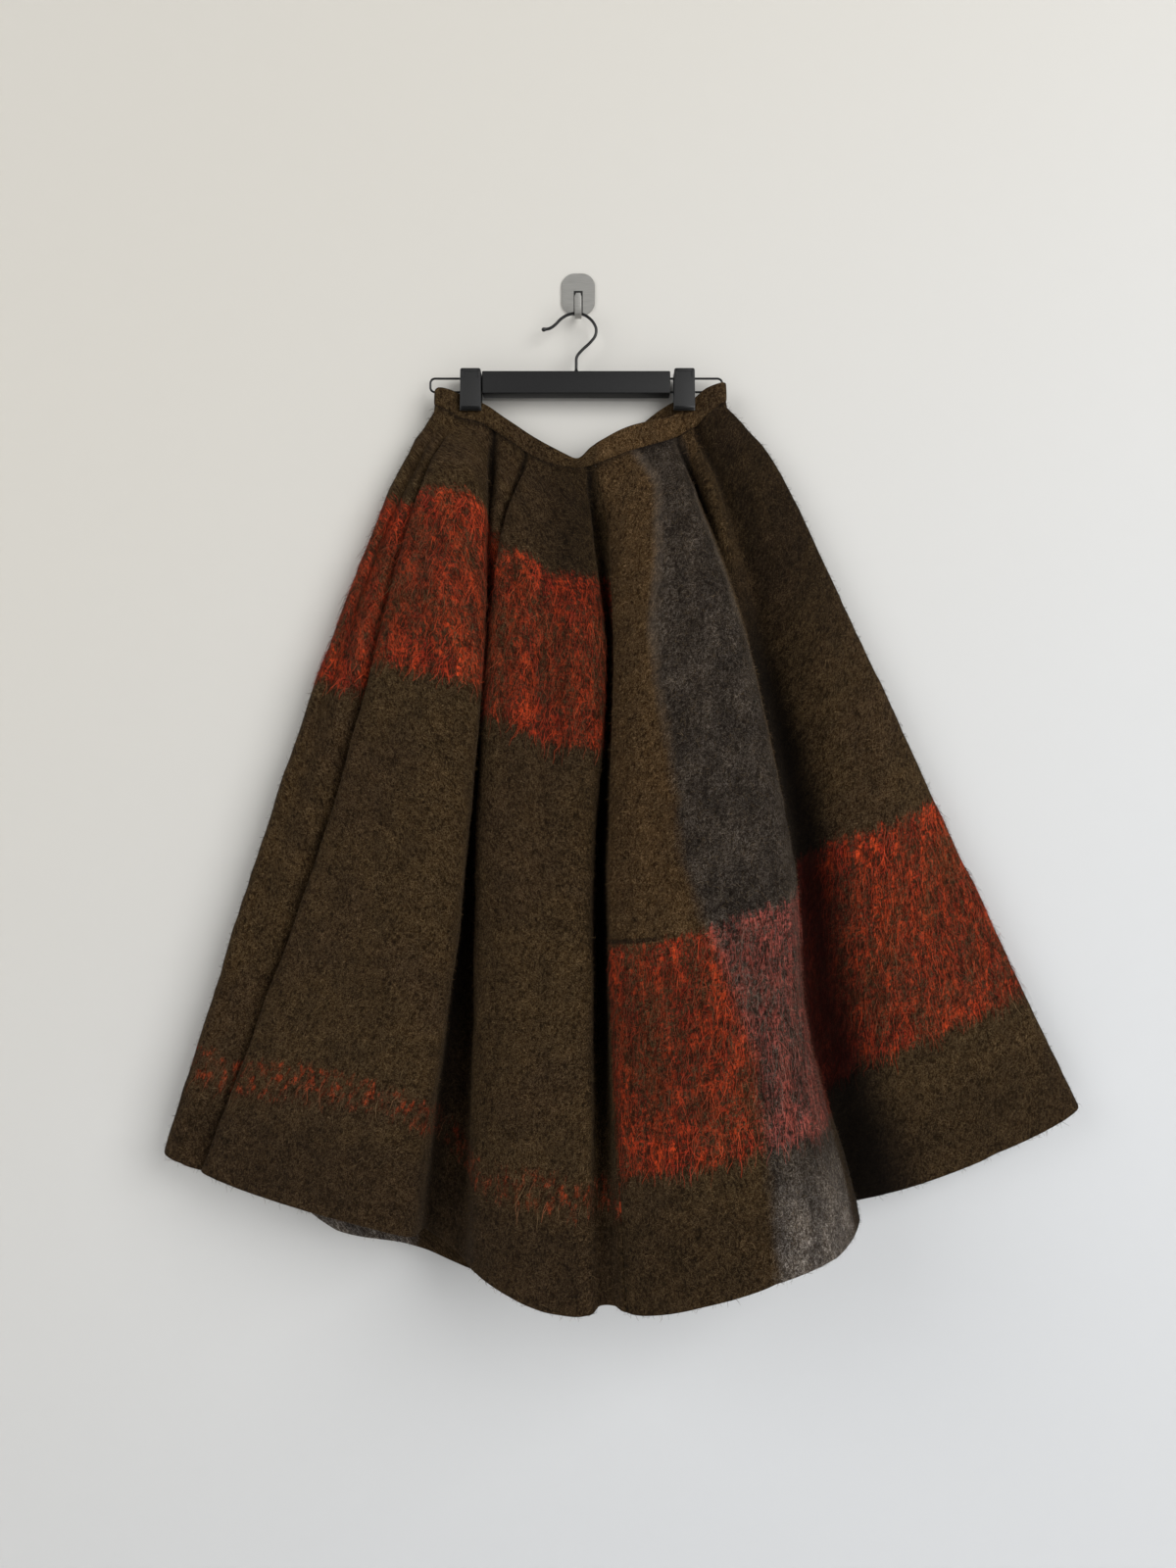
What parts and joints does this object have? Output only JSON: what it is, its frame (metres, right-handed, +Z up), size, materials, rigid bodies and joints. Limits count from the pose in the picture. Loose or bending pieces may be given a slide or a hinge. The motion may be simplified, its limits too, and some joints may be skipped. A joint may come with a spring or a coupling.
{
  "type": "midi skirt on a clip hanger and wall hook",
  "caption": "Flared midi skirt of thick brushed wool with deep soft folds, clipped by its narrow waistband to a bar hanger on a small wall hook.",
  "frame": {"origin": "centre of the wall hook plate's back face, on the wall", "axes": "+Y into the wall, +Z up, +X to the right as seen from the room"},
  "size_m": [0.9793, 0.2445, 1.104],
  "materials": {
    "wool": "brushed wool, brown-olive with orange and grey stripes",
    "hanger_bar": "satin black",
    "hanger_wire": "satin black",
    "clips": "matte black",
    "wall_hook": "brushed"
  },
  "bodies": {
    "root": {"front_left_panel": "wool", "front_right_panel": "wool", "back_left_panel": "wool", "back_right_panel": "wool", "waistband": "wool", "hanger_bar": "hanger_bar", "hanger_hook": "hanger_wire", "wire_loop_left": "hanger_wire", "wire_loop_right": "hanger_wire", "clip_left": "clips", "clip_right": "clips", "wall_hook": "wall_hook"}
  },
  "joints": []
}
